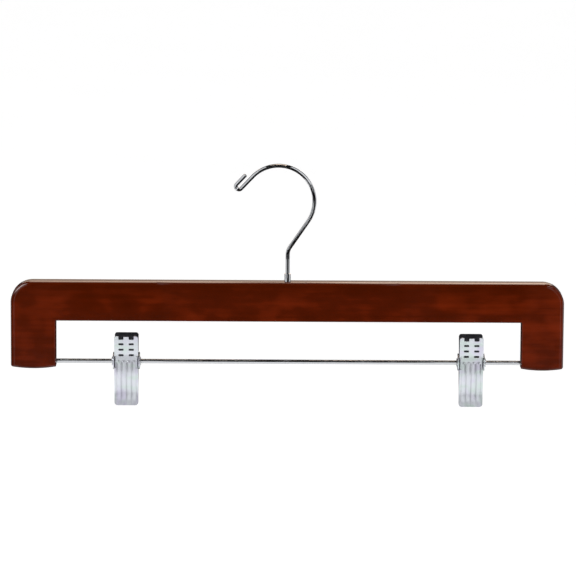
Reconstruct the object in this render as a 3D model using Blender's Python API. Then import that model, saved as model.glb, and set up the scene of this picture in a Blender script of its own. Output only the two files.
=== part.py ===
"""Bottoms hanger: a square-ended hardwood board, a swivel wire hook, a cross rod and two spring clips.

Metres, +Z up. X runs along the bar, and the front faces -Y. The origin is the seat of the rail: the
underside of the hook's loop, straight above the hook's swivel axis.
"""
import math

import bmesh
import bpy
from mathutils import Vector

# Gaps between pieces
touch_gap = 0.0003          # between faces that meet
turn_gap = 0.0002           # all round a pin that turns or slides in its hole

# Wooden board: a bar with a square arm dropping from each end
body_width = 0.356
body_thickness = 0.012
bar_height = 0.0257
arm_drop = 0.0300           # bar's underside to the foot's corners
left_arm_width = 0.0290     # the arms were cut to slightly different widths
right_arm_width = 0.0272
shoulder_radius = 0.0140
edge_round = 0.0034         # rounding along the bar's top and the arms' outer sides
window_round = 0.0008       # slighter rounding round the window
foot_round = 0.0018         # rounding along the feet's bottom edges
foot_corner = 0.0015        # feet's outer corners, seen from the front
foot_bow = 0.0012           # how far the foot bellies below its corners

# Cross rod, and the dowels that close its drilled holes
rod_diameter = 0.0028
rod_drop = 0.0270           # bar's underside to the rod's axis
rod_chamfer = 0.0003
plug_diameter = 0.0036
plug_length = 0.0080

# Swivel hook, along the wire's centre line
hook_wire = 0.0026
loop_radius = 0.0230
loop_offset = 0.0061        # loop's centre, left of the swivel axis
loop_height = 0.0518        # loop's centre, above the bar's top
stem_height = 0.0200        # where the stem leans over, above the bar's top
stem_bend_radius = 0.0080
tail_slope = 46.5           # degrees below level where the loop runs out straight
tail_length = 0.0106
curl_pitch = 0.0040         # wire centre to wire centre across the tip's curl
return_length = 0.0085
tip_round = 0.0005

# What the hook turns in, and what holds it down in the bar
bush_diameter = 0.0040
bush_rise = 0.0050          # bush showing above the bar
bush_depth = 0.0100
bush_chamfer = 0.0002
washer_diameter = 0.0076
washer_thickness = 0.0008
head_diameter = 0.0050
head_height = 0.0012
head_recess = 0.0012        # head's bottom, up inside the bar's underside

# Clips, sizes from the rod's axis
left_clip_in = 0.0453       # clip's middle, in from the left arm
right_clip_in = 0.0320      # clip's middle, in from the right arm
plate_thickness = 0.00075
plate_width = 0.0154
tab_height = 0.0174
tab_spread = 0.0076         # tab's top edge, out from the rod's plane
jaw_depth = 0.0290
lip_height = 0.0070         # flat lips that meet, at the jaw's bottom
belly_height = 0.0045       # the plate stands upright this far above and below the axis
tab_corner = 0.0016
jaw_corner = 0.0020
slot_height = 0.0014
slot_base = 0.0039          # lowest slot's lower edge
notch_depth = 0.0024        # front plate's top slots are open notches this deep
tongue_drop = 0.0005        # tongue between the notches, below the tab's top
rib_pitch = 0.0033
rib_rise = 0.0005
rib_top = 0.0010
rib_run_in = 0.0018
ear_height = 0.0103         # rear plate's ears, outside the front plate's
ear_inset = 0.0001          # an ear's face, in from the plate's edge
shoulder_run = 0.0006       # height over which the rear plate widens to its ears
tube_wall = 0.0004
tube_flange = 0.0008        # how far a rolled end stands out over the ear
flange_thickness = 0.0004
spring_wire = 0.0012
spring_radius = 0.0031      # to the wire's centre
spring_turns = 6.5
spring_pitch = 0.0018
spring_leg = 0.0115         # top of the legs, above the axis

# Counts and shares
slot_rows = 4
rib_lines = (-3, -1, 1, 3)  # crests of the ribs, in half rib pitches from the plate's middle
slot_cells = (-3, -2, 1, 2)     # columns that the slots take out, numbered by their left line
tongue_cells = (-1, 0)
edge_line = 5               # the plate's edges are its fifth lines from the middle
edge_margin_share = 0.25    # least distance from an edge to the next line, in jaw corner radii
rib_fade_share = 0.3        # rib height left at the lips' ends
rib_run_out_share = 0.5     # share of the lips over which the ribs fade
arc_steps = 10
foot_steps = 4
corner_steps = 3
jaw_steps = 7
leg_steps = 5
round_sides = 24
spring_points_per_turn = 10
cut_overrun = 0.0020
weld_distance = 0.000001

# Places worked out from the sizes above
loop_inner = loop_radius - hook_wire / 2
bar_top = -loop_height - math.sqrt(loop_inner ** 2 - loop_offset ** 2)
bar_under = bar_top - bar_height
foot_level = bar_under - arm_drop
rod_level = bar_under - rod_drop
half_width = body_width / 2
window_left = left_arm_width - half_width
window_right = half_width - right_arm_width
left_clip_x = window_left + left_clip_in
right_clip_x = window_right - right_clip_in
rod_radius = rod_diameter / 2
bush_bore = hook_wire / 2 + turn_gap
head_bottom = bar_under + head_recess
head_top = head_bottom + head_height
washer_bottom = head_top + turn_gap
washer_top = washer_bottom + washer_thickness
tube_bore = rod_radius + turn_gap
tube_radius = tube_bore + tube_wall
ear_bore = tube_radius + turn_gap
belly_inner = spring_radius + spring_wire / 2 + touch_gap
belly_middle = belly_inner + plate_thickness / 2
lip_middle = (touch_gap + plate_thickness) / 2
half_plate = plate_width / 2
front_ear_face = half_plate - ear_inset
rear_ear_face = half_plate + touch_gap + plate_thickness
rear_ear_radius = ear_height / 2
front_ear_radius = belly_inner - touch_gap
slot_pitch = (tab_height - notch_depth - slot_base) / (slot_rows - 1)
lip_top = lip_height - jaw_depth

FORWARD = Vector((0, -1, 0))
ALONG = Vector((1, 0, 0))
UP = Vector((0, 0, 1))


def clear_scene():
    """Remove whatever the file opened with."""
    for thing in list(bpy.data.objects):
        bpy.data.objects.remove(thing, do_unlink=True)


def linear(hex_colour):
    """Turn an sRGB hex colour into the linear values that a shader takes."""
    parts = [int(hex_colour[i:i + 2], 16) / 255 for i in (1, 3, 5)]
    return [p / 12.92 if p <= 0.04045 else ((p + 0.055) / 1.055) ** 2.4 for p in parts] + [1.0]


def paint(name, colour, metallic, roughness):
    """A Principled BSDF material."""
    material = bpy.data.materials.new(name)
    material.use_nodes = True
    shader = material.node_tree.nodes["Principled BSDF"]
    shader.inputs["Base Color"].default_value = linear(colour)
    shader.inputs["Metallic"].default_value = metallic
    shader.inputs["Roughness"].default_value = roughness
    return material


def place(name, data, material=None, parent=None, location=(0, 0, 0)):
    """Link one named object into the scene."""
    thing = bpy.data.objects.new(name, data)
    bpy.context.scene.collection.objects.link(thing)
    thing.location = location
    thing.parent = parent
    if material:
        data.materials.append(material)
    return thing


def mesh_of(bm, name):
    """Weld, face outwards and shade a bmesh, and return it as a mesh."""
    bmesh.ops.remove_doubles(bm, verts=bm.verts, dist=weld_distance)
    bmesh.ops.recalc_face_normals(bm, faces=bm.faces)
    mesh = bpy.data.meshes.new(name)
    bm.to_mesh(mesh)
    bm.free()
    mesh.shade_smooth()
    mesh.set_sharp_from_angle(angle=math.radians(30))
    return mesh


def turned(name, profile, axis, hollow=False):
    """A solid of revolution about an axis through zero, from points (distance along, radius)."""
    bm = bmesh.new()
    side = FORWARD if axis != FORWARD else UP
    points = [bm.verts.new(axis * along + side * radius) for along, radius in profile]
    pairs = list(zip(points, points[1:]))
    if hollow:
        pairs.append((points[-1], points[0]))
    edges = [bm.edges.new(pair) for pair in pairs]
    bmesh.ops.spin(bm, geom=points + edges, cent=(0, 0, 0), axis=axis, angle=math.tau,
                   steps=round_sides, use_merge=True)
    return mesh_of(bm, name)


def rod_profile(low, high, radius, chamfer):
    """A round bar's half section, with chamfered ends."""
    return [(low, 0), (low, radius - chamfer), (low + chamfer, radius),
            (high - chamfer, radius), (high, radius - chamfer), (high, 0)]


def cutter(name, mesh, parent=None, location=(0, 0, 0)):
    """A helper shape for a Boolean, which isn't part of the model."""
    thing = place(name, mesh, parent=parent, location=location)
    thing.hide_render = True
    thing.display_type = 'WIRE'
    return thing


def boolean(thing, helper, operation):
    """Join a helper shape to an object, or cut it out of the object."""
    modifier = thing.modifiers.new(helper.name, 'BOOLEAN')
    modifier.operation = operation
    modifier.object = helper
    modifier.solver = 'EXACT'


def bore(thing, name, axis, steps, location=(0, 0, 0), parent=None):
    """Drill a stepped round hole along an axis, from the (distance along, radius) pairs of its wall."""
    profile = [(steps[0][0], 0)] + steps + [(steps[-1][0], 0)]
    boolean(thing, cutter(name, turned(name, profile, axis), parent, location), 'DIFFERENCE')


def wire(name, points, radius, material, parent=None, location=(0, 0, 0), swell=None, resolution=1):
    """A round wire along a list of points, with filled ends; swell gives the radius at some points."""
    curve = bpy.data.curves.new(name, 'CURVE')
    curve.dimensions = '3D'
    curve.use_fill_caps = True
    curve.bevel_depth = radius
    curve.bevel_resolution = resolution
    spline = curve.splines.new('POLY')
    spline.points.add(len(points) - 1)
    for i, point in enumerate(points):
        spline.points[i].co = (*point, 1)
        spline.points[i].radius = swell.get(i, radius) / radius if swell else 1
    return place(name, curve, material, parent, location)


def arc(centre, radius, start, end, steps):
    """Points of an arc in the XZ plane, angles in radians from +X towards +Z."""
    angles = [start + (end - start) * i / steps for i in range(steps + 1)]
    return [Vector((centre.x + radius * math.cos(a), 0, centre.z + radius * math.sin(a))) for a in angles]


def half_outline(arm_width):
    """Half of the board's outline, as if it were the right one, from the bar's top to the window.

    It is a list of pairs of a corner and the rounding of the side after it.
    """
    shoulder = Vector((half_width - shoulder_radius, 0, bar_top - shoulder_radius))
    corners = [(p, edge_round) for p in arc(shoulder, shoulder_radius, math.pi / 2, 0, arc_steps)]
    foot_middle = half_width - arm_width / 2
    for i in range(foot_steps + 1):
        share = 1 - 2 * i / foot_steps
        bow = foot_bow * (1 - share ** 2)
        corners.append((Vector((foot_middle + arm_width / 2 * share, 0, foot_level - bow)), foot_round))
    corners[-1] = (corners[-1][0], window_round)
    corners.append((Vector((half_width - arm_width, 0, bar_under)), window_round))
    return corners


def board_outline():
    """The board's outline in the XZ plane, as pairs of a corner and the rounding of the side after it."""
    left = half_outline(left_arm_width)
    mirrored = [Vector((-p.x, 0, p.z)) for p, rounding in reversed(left)]
    roundings = [rounding for p, rounding in reversed(left[:-1])] + [edge_round]
    return half_outline(right_arm_width) + list(zip(mirrored, roundings))


def make_board(wood):
    """The one-piece wooden board, rounded at its edges and drilled for the hook and the rod."""
    outline = board_outline()
    bm = bmesh.new()
    weight = bm.edges.layers.float.new("bevel_weight_edge")
    step_back = Vector((0, body_thickness / 2, 0))
    front = [bm.verts.new(p - step_back) for p, rounding in outline]
    back = [bm.verts.new(p + step_back) for p, rounding in outline]
    count = len(outline)
    for i in range(count):
        j = (i + 1) % count
        bm.faces.new((front[i], front[j], back[j], back[i]))
        for ring in (front, back):
            edge = bm.edges.get((ring[i], ring[j])) or bm.edges.new((ring[i], ring[j]))
            edge[weight] = outline[i][1] / edge_round
    for i in (arc_steps + 1, count - arc_steps - 2):
        bm.edges.get((front[i], back[i]))[weight] = foot_corner / edge_round
    bm.faces.new(front)
    bm.faces.new(back)
    board = place("wooden_board", mesh_of(bm, "wooden_board"), wood)
    bevel = board.modifiers.new("edges", 'BEVEL')
    bevel.limit_method = 'WEIGHT'
    bevel.width = edge_round
    bevel.segments = 4
    hook_wall = [(bar_under - cut_overrun, washer_diameter / 2 + touch_gap),
                 (washer_top + touch_gap, washer_diameter / 2 + touch_gap),
                 (washer_top + touch_gap, hook_wire / 2 + touch_gap),
                 (bar_top - bush_depth - touch_gap, hook_wire / 2 + touch_gap),
                 (bar_top - bush_depth - touch_gap, bush_diameter / 2 + touch_gap),
                 (bar_top + cut_overrun, bush_diameter / 2 + touch_gap)]
    bore(board, "hook_hole", UP, hook_wall)
    plug_end = half_width - plug_length - touch_gap
    rod_wall = [(plug_end, rod_radius + touch_gap), (plug_end, plug_diameter / 2 + touch_gap),
                (half_width + cut_overrun, plug_diameter / 2 + touch_gap)]
    both_arms = [(-along, radius) for along, radius in reversed(rod_wall)] + rod_wall
    bore(board, "rod_hole", ALONG, both_arms, (0, 0, rod_level))
    return board


def make_rod(steel, wood):
    """The cross rod through both arms, and a dowel closing its hole at each end."""
    rod_half = half_width - plug_length - 2 * touch_gap
    mesh = turned("cross_rod", rod_profile(-rod_half, rod_half, rod_radius, rod_chamfer), ALONG)
    place("cross_rod", mesh, steel, location=(0, 0, rod_level))
    for name, side in (("left_rod_plug", -1), ("right_rod_plug", 1)):
        inner = half_width - plug_length
        profile = rod_profile(inner, half_width, plug_diameter / 2, rod_chamfer)
        place(name, turned(name, profile, ALONG * side), wood, location=(0, 0, rod_level))


def hook_route():
    """The hook wire's centre line from its head in the bar to the end of the curl at its tip."""
    centre = Vector((-loop_offset, 0, bar_top + loop_height))
    lean_point = Vector((0, 0, bar_top + stem_height))
    reach = centre - lean_point
    lean = math.asin(loop_radius / reach.length) - math.atan2(loop_offset, reach.z)
    tangent = stem_bend_radius * math.tan(lean / 2)
    route = [Vector((0, 0, z)) for z in (head_bottom, head_top, head_top, bar_under + bar_height / 2, bar_top)]
    bend = Vector((stem_bend_radius, 0, lean_point.z - tangent))
    route += arc(bend, stem_bend_radius, math.pi, math.pi - lean, foot_steps)
    route += arc(centre, loop_radius, -lean, math.pi / 2 + math.radians(tail_slope), 3 * arc_steps)
    slope = math.radians(tail_slope)
    run = Vector((-math.cos(slope), 0, -math.sin(slope)))
    outward = Vector((run.z, 0, -run.x))
    start = route[-1] + run * tail_length
    curl_centre = start + outward * curl_pitch / 2
    for i in range(arc_steps + 1):
        angle = math.pi * i / arc_steps
        turn = -outward * math.cos(angle) + run * math.sin(angle)
        route.append(curl_centre + turn * curl_pitch / 2)
    route.append(route[-1] - run * (return_length - tip_round))
    route.append(route[-1] - run * tip_round)
    return route


def make_hook(chrome, steel):
    """The hook, the bush it turns in and the washer that its head bears on."""
    route = hook_route()
    wire_radius = hook_wire / 2
    swell = {0: head_diameter / 2, 1: head_diameter / 2, len(route) - 1: wire_radius - tip_round}
    wire("swivel_hook", route, wire_radius, chrome, swell=swell, resolution=3)
    bush_radius = bush_diameter / 2
    low, high = bar_top - bush_depth, bar_top + bush_rise
    section = [(low, bush_bore), (low, bush_radius), (high - bush_chamfer, bush_radius),
               (high, bush_radius - bush_chamfer), (high, bush_bore)]
    place("hook_bush", turned("hook_bush", section, UP, hollow=True), chrome)
    washer_radius = washer_diameter / 2
    section = [(washer_bottom, bush_bore), (washer_bottom, washer_radius),
               (washer_top, washer_radius), (washer_top, bush_bore)]
    place("hook_washer", turned("hook_washer", section, UP, hollow=True), steel)


def plate_middle(z):
    """How far a clip plate's middle surface stands from the rod's plane, at a height from the axis."""
    if z > belly_height:
        return belly_middle + (tab_spread - belly_middle) * (z - belly_height) / (tab_height - belly_height)
    if z > -belly_height:
        return belly_middle
    if z < lip_top:
        return lip_middle
    share = (z + belly_height) / (lip_top + belly_height)
    return lip_middle + (belly_middle - lip_middle) * (1 + math.cos(math.pi * share)) / 2


def slot_spans(rear):
    """The lower and upper edge of each row of slots; only the front plate has a top row, open above."""
    lows = [slot_base + slot_pitch * i for i in range(slot_rows)]
    closed = [(low, low + slot_height) for low in lows[:-1]]
    return closed if rear else closed + [(lows[-1], tab_height)]


def plate_rows(rear):
    """Heights of the cross lines that a clip plate is drawn on, from its top to its bottom."""
    rows = [] if rear else [tab_height - tongue_drop]
    for i in range(corner_steps + 1):
        angle = math.pi / 2 * i / corner_steps
        rows.append(tab_height - tab_corner * (1 - math.cos(angle)))
        rows.append(-jaw_depth + jaw_corner * (1 - math.cos(angle)))
    for low, high in slot_spans(rear):
        rows += [low, high]
    rows += [(slot_base + rib_top) / 2, rib_top, rib_top - rib_run_in, lip_top - lip_height * rib_run_out_share]
    rows += [-belly_height + (lip_top + belly_height) * i / jaw_steps for i in range(jaw_steps + 1)]
    if rear:
        for z in (rear_ear_radius, -rear_ear_radius):
            rows += [z - shoulder_run / 2, z + shoulder_run / 2]
    return sorted({round(z, 6) for z in rows}, reverse=True)


def rib_share(z):
    """How much of the full rib height the plate has at a height from the axis."""
    if z > lip_top:
        return max(0, min(1, (rib_top - z) / rib_run_in))
    return max(rib_fade_share, 1 - (lip_top - z) / (lip_height * rib_run_out_share))


def plate_half(z, rear):
    """Half the plate's width at a height, with its rounded corners and the rear plate's shoulders."""
    top_in = max(0, z - tab_height + tab_corner)
    low_in = max(0, -jaw_depth + jaw_corner - z)
    half = half_plate - tab_corner + math.sqrt(max(0, tab_corner ** 2 - top_in ** 2))
    half -= jaw_corner - math.sqrt(max(0, jaw_corner ** 2 - low_in ** 2))
    if rear and abs(z) < rear_ear_radius:
        half = rear_ear_face
    return half


def line_place(line, half):
    """Where one of the plate's upright lines runs, at a height where the plate is this wide."""
    if abs(line) == edge_line:
        return math.copysign(half, line)
    inside = half - jaw_corner * edge_margin_share
    return max(-inside, min(inside, line * rib_pitch / 2))


def plate_points(bm, rows, facing, rear):
    """The plate's corner points, as a dictionary by row, line and face."""
    corners = {}
    for r, z in enumerate(rows):
        above = rows[max(r - 1, 0)]
        below = rows[min(r + 1, len(rows) - 1)]
        slope = Vector((0, facing * (plate_middle(above) - plate_middle(below)), above - below)).normalized()
        normal = Vector((0, facing * slope.z, -facing * slope.y))
        half = plate_half(z, rear)
        for line in range(-edge_line, edge_line + 1):
            wave = rib_rise * rib_share(z) if line in rib_lines else 0
            middle = Vector((line_place(line, half), facing * (plate_middle(z) + wave), z))
            for face in (-1, 1):
                corners[r, line, face] = bm.verts.new(middle + normal * face * plate_thickness / 2)
    return corners


def plate_cells(rows, rear):
    """The cells of the grid that hold metal: all but the slots, and the gap over the front's tongue."""
    cells = set()
    for r in range(len(rows) - 1):
        z = (rows[r] + rows[r + 1]) / 2
        missing = ()
        if any(low < z < high for low, high in slot_spans(rear)):
            missing += slot_cells
        if not rear and z > tab_height - tongue_drop:
            missing += tongue_cells
        cells |= {(r, c) for c in range(-edge_line, edge_line) if c not in missing}
    return cells


def plate_mesh(name, facing, rear):
    """A pressed clip plate: a grid of cells given a thickness, with the slots left out."""
    bm = bmesh.new()
    rows = plate_rows(rear)
    corners = plate_points(bm, rows, facing, rear)
    cells = plate_cells(rows, rear)
    for r, c in cells:
        for face in (-1, 1):
            bm.faces.new([corners[r + dr, c + dc, face] for dr, dc in ((0, 0), (1, 0), (1, 1), (0, 1))])
        walls = (((r - 1, c), (r, c), (r, c + 1)), ((r + 1, c), (r + 1, c), (r + 1, c + 1)),
                 ((r, c - 1), (r, c), (r + 1, c)), ((r, c + 1), (r, c + 1), (r + 1, c + 1)))
        for beyond, start, end in walls:
            if beyond not in cells:
                bm.faces.new((corners[*start, -1], corners[*end, -1], corners[*end, 1], corners[*start, 1]))
    loose = [v for v in bm.verts if not v.link_faces]
    bmesh.ops.delete(bm, geom=loose, context='VERTS')
    return mesh_of(bm, name)


def ears_mesh(name, facing, radius, outer_face):
    """A plate's pair of ears: each is round about the axis and runs square to its plate."""
    bm = bmesh.new()
    plane = facing * belly_middle
    outline = [(plane, -radius)]
    for i in range(arc_steps + 1):
        angle = math.pi * (i / arc_steps - 1 / 2)
        outline.append((-facing * radius * math.cos(angle), radius * math.sin(angle)))
    outline.append((plane, radius))
    for side in (-1, 1):
        rings = []
        for depth in (0, plate_thickness):
            x = side * (outer_face - depth)
            rings.append([bm.verts.new((x, y, z)) for y, z in outline])
        count = len(outline)
        for i in range(count):
            j = (i + 1) % count
            bm.faces.new((rings[0][i], rings[0][j], rings[1][j], rings[1][i]))
        for ring in rings:
            bm.faces.new(ring)
    return mesh_of(bm, name)


def make_jaw(name, facing, parent, material):
    """One clip plate with its ears, and with the pivot's hole through both ears."""
    rear = facing > 0
    jaw = place(name, plate_mesh(name, facing, rear), material, parent)
    radius = rear_ear_radius if rear else front_ear_radius
    face = rear_ear_face - ear_inset if rear else front_ear_face
    boolean(jaw, cutter(name + ".ears", ears_mesh(name, facing, radius, face), parent), 'UNION')
    reach = rear_ear_face + cut_overrun
    bore(jaw, name + ".bore", ALONG, [(-reach, ear_bore), (reach, ear_bore)], parent=parent)
    return jaw


def make_pivot_tube(name, parent, material):
    """The tube that holds a clip together, rolled over outside the ears, which slides on the rod."""
    inner = rear_ear_face + turn_gap
    outer = inner + flange_thickness
    rim = tube_radius + tube_flange
    section = [(-outer, tube_bore), (-outer, rim), (-inner, rim), (-inner, tube_radius),
               (inner, tube_radius), (inner, rim), (outer, rim), (outer, tube_bore)]
    return place(name, turned(name, section, ALONG, hollow=True), material, parent)


def spring_route():
    """A clip spring's centre line: front leg down, the turns along the tube, and rear leg up."""
    steps = round(spring_turns * spring_points_per_turn)
    half = spring_turns * spring_pitch / 2
    coil = []
    for i in range(steps + 1):
        share = i / steps
        angle = math.pi + math.tau * spring_turns * share
        around = Vector((0, math.cos(angle), math.sin(angle)))
        coil.append(around * spring_radius + ALONG * half * (2 * share - 1))
    set_in = plate_thickness / 2 + touch_gap + spring_wire / 2
    heights = [spring_leg * (i + 1) / leg_steps for i in range(leg_steps)]
    reach = [(plate_middle(z) - set_in, z) for z in heights]
    front = [Vector((-half, -y, z)) for y, z in reversed(reach)]
    rear = [Vector((half, y, z)) for y, z in reach]
    return front + coil + rear


def least_gap(points, diameter):
    """The least gap between two stretches of a wire that are at least half a turn apart."""
    skip = spring_points_per_turn // 2
    spans = [(a - b).length for i, a in enumerate(points) for b in points[i + skip:]]
    return min(spans) - diameter


def make_clip(side, x, chrome, steel):
    """One sliding clip: the tube on the rod, the rear and front jaws, and the spring between them."""
    axis = bpy.data.objects.new(side + "_clip_axis", None)
    bpy.context.scene.collection.objects.link(axis)
    axis.location = (x, 0, rod_level)
    make_pivot_tube(side + "_clip_pivot_tube", axis, steel)
    make_jaw(side + "_clip_rear_jaw", 1, axis, chrome)
    make_jaw(side + "_clip_front_jaw", -1, axis, chrome)
    wire(side + "_clip_spring", spring_route(), spring_wire / 2, steel, axis)


def main():
    clear_scene()
    wood = paint("stained_hardwood", "#53170A", 0.0, 0.25)
    chrome = paint("chromed_steel", "#D9DBDE", 1.0, 0.08)
    steel = paint("bright_steel", "#A9ABAE", 1.0, 0.22)
    make_board(wood)
    make_rod(steel, wood)
    make_hook(chrome, steel)
    make_clip("left", left_clip_x, chrome, steel)
    make_clip("right", right_clip_x, chrome, steel)
    print("spring's least gap to itself, mm:", round(least_gap(spring_route(), spring_wire) * 1000, 3))


main()
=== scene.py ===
import math

import bmesh
import bpy
from bpy.props import FloatProperty, FloatVectorProperty, IntProperty, PointerProperty
from bpy.types import Operator, Panel, PropertyGroup
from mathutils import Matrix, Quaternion, Vector


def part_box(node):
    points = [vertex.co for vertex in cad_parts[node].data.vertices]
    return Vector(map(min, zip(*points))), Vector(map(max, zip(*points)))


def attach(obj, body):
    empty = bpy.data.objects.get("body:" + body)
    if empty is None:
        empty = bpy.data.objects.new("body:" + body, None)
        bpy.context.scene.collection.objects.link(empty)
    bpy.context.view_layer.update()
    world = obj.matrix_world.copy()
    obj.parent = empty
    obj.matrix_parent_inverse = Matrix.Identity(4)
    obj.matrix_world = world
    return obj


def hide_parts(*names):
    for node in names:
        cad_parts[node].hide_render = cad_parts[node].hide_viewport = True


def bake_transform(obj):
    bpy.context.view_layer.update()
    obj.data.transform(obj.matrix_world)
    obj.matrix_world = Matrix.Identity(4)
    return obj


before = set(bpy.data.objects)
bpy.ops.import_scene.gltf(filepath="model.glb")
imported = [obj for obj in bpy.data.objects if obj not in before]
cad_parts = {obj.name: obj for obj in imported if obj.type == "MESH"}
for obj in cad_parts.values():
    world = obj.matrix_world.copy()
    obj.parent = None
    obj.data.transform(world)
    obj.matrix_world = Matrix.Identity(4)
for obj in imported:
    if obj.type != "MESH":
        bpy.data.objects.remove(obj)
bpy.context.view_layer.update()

bl_info = {
    "name": "Bottoms Hanger",
    "version": (1, 0, 0),
    "blender": (4, 5, 0),
    "location": "3D View > Sidebar > Hanger",
    "description": "Models a wooden trouser and skirt hanger with a swivel hook and two sprung clips",
    "category": "Add Mesh",
}

# Places read from the frame, in metres, with the rail's seat on the hook as the origin
board_low, board_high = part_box("wooden_board")
rod_low, rod_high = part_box("cross_rod")
hook_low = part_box("swivel_hook")[0]
bush_low, bush_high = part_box("hook_bush")
washer_low, washer_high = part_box("hook_washer")
plug_low, plug_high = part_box("right_rod_plug")
tube_low, tube_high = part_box("right_clip_pivot_tube")
jaw_low, jaw_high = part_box("right_clip_front_jaw")
rear_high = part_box("right_clip_rear_jaw")[1]
rod_level = (rod_low.z + rod_high.z) / 2
bar_top = board_high.z
half_width = board_high.x
tab_top = jaw_high.z - rod_level
jaw_bottom = jaw_low.z - rod_level
clip_places = {}
for side in ("left", "right"):
    clip_low, clip_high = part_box(side + "_clip_pivot_tube")
    clip_places[side] = (clip_low.x + clip_high.x) / 2

weld_distance = 0.000001


def length(name, default, description):
    """A length in metres that a user can change."""
    return FloatProperty(name=name, description=description, default=default, min=0.0,
                         unit='LENGTH', precision=5)


def linear(hex_colour):
    """Turn an sRGB hex colour into the linear values that a shader takes."""
    parts = [int(hex_colour[i:i + 2], 16) / 255 for i in (1, 3, 5)]
    return [p / 12.92 if p <= 0.04045 else ((p + 0.055) / 1.055) ** 2.4 for p in parts]


def colour(name, hex_colour, description):
    """A colour that a user can change."""
    return FloatVectorProperty(name=name, description=description, default=linear(hex_colour),
                               subtype='COLOR', min=0.0, max=1.0)


class HangerBoardSizes(PropertyGroup):
    """Sizes of the board, the cross rod and the dowels."""
    bar_height: length("Bar height", 0.0257, "Depth of the bar, top to underside")
    left_arm: length("Left arm width", 0.0290, "Width of the left arm")
    right_arm: length("Right arm width", 0.0272, "Width of the right arm")
    shoulder_radius: length("Shoulder radius", 0.014, "Radius of the outer top corners")
    edge_round: length("Edge rounding", 0.0034, "Rounding along the top and the outer sides")
    window_round: length("Window rounding", 0.0008, "Rounding of the edges round the window")
    foot_round: length("Foot rounding", 0.0018, "Rounding of the feet's bottom edges")
    foot_corner: length("Foot corner", 0.0015, "Radius of the feet's outer corners")
    foot_bow: length("Foot bow", 0.0012, "How far a foot bellies below its corners")
    touch_gap: length("Gap", 0.0003, "Gap between pieces that meet")
    rod_chamfer: length("Rod chamfer", 0.0003, "Chamfer at the rod's and dowels' ends")


class HangerHookSizes(PropertyGroup):
    """Sizes of the hook and what it turns in."""
    wire: length("Wire", 0.0026, "Diameter of the hook's wire")
    loop_radius: length("Loop radius", 0.023, "Radius of the loop, to the middle of the wire")
    loop_offset: length("Loop offset", 0.0061, "Loop's centre, left of the swivel axis")
    loop_height: length("Loop height", 0.0518, "Loop's centre, above the bar's top")
    stem_height: length("Stem height", 0.0200, "Where the stem leans over, above the bar's top")
    bend_radius: length("Bend radius", 0.008, "Radius of the stem's bend")
    tail_length: length("Tail length", 0.0106, "Straight run before the curl")
    curl_pitch: length("Curl pitch", 0.0040, "Wire centre to wire centre across the curl")
    return_length: length("Return length", 0.0085, "Straight run after the curl")
    tip_round: length("Tip rounding", 0.0005, "Rounding of the wire's cut end")
    head_diameter: length("Head diameter", 0.005, "Headed end under the bar")
    head_height: length("Head height", 0.0012, "Height of the headed end")
    bush_wall: length("Bush wall", 0.0005, "Wall of the tube that the hook turns in")
    tail_slope: FloatProperty(name="Tail slope", description="Slope of the tail below level",
                              default=math.radians(46.5), subtype='ANGLE')


class HangerClipSizes(PropertyGroup):
    """Sizes of a sliding clip, measured from the rod's axis."""
    sheet: length("Sheet", 0.00075, "Thickness of the pressed steel")
    touch_gap: length("Gap", 0.0003, "Gap between pieces that meet")
    turn_gap: length("Turning gap", 0.0002, "Gap all round a pin that turns or slides")
    tab_spread: length("Tab spread", 0.0076, "Tab's top edge, out from the rod's plane")
    lip_height: length("Lip height", 0.007, "Flat lips that meet, at the jaw's bottom")
    belly_height: length("Belly height", 0.0045, "Upright stretch above and below the axis")
    belly_middle: length("Belly depth", 0.004375, "Plate's middle at the axis, out from the rod")
    tab_corner: length("Tab corner", 0.0016, "Radius of the tab's corners")
    jaw_corner: length("Jaw corner", 0.002, "Radius of the jaw's corners")
    slot_height: length("Slot height", 0.0014, "Height of each slot")
    slot_base: length("Slot base", 0.0039, "Lowest slot's lower edge")
    notch_depth: length("Notch depth", 0.0024, "Depth of the open notches in the front tab's top")
    tongue_drop: length("Tongue drop", 0.0005, "Tongue between the notches, below the top")
    rib_pitch: length("Rib pitch", 0.0033, "Distance between ribs")
    rib_rise: length("Rib rise", 0.0005, "How far a rib stands out")
    rib_top: length("Rib top", 0.001, "Where the ribs end, above the axis")
    rib_run_in: length("Rib run-in", 0.0011, "Height over which a rib rises")
    rear_ear: length("Rear ear", 0.00515, "Radius of the rear plate's ears")
    front_ear: length("Front ear", 0.0037, "Radius of the front plate's ears")
    rear_face: length("Rear ear face", 0.008275, "Middle of a rear ear's sheet, from the clip's middle")
    front_face: length("Front ear face", 0.007225, "Middle of a front ear's sheet, from the clip's middle")
    ear_hole: length("Ear hole", 0.0022, "Radius of the hole through the ears")
    bend: length("Bend radius", 0.0008, "Radius of the fold at an ear, to the middle of the sheet")
    relief: length("Relief", 0.00025, "Notch beside an ear's fold")
    tube_wall: length("Tube wall", 0.0004, "Wall of the tube that slides on the rod")
    flange: length("Flange", 0.0004, "Thickness of the tube's rolled ends")
    spring_wire: length("Spring wire", 0.0012, "Diameter of the spring's wire")
    spring_radius: length("Spring radius", 0.0031, "Spring's radius, to the middle of the wire")
    spring_pitch: length("Spring pitch", 0.0018, "Distance between the spring's turns")
    spring_leg: length("Spring leg", 0.0115, "Top of the spring's legs, above the axis")
    spring_turns: FloatProperty(name="Spring turns", description="Turns of the spring",
                                default=6.5, min=1.0)
    slot_rows: IntProperty(name="Slot rows", description="Rows of slots in a tab", default=4, min=2)


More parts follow.
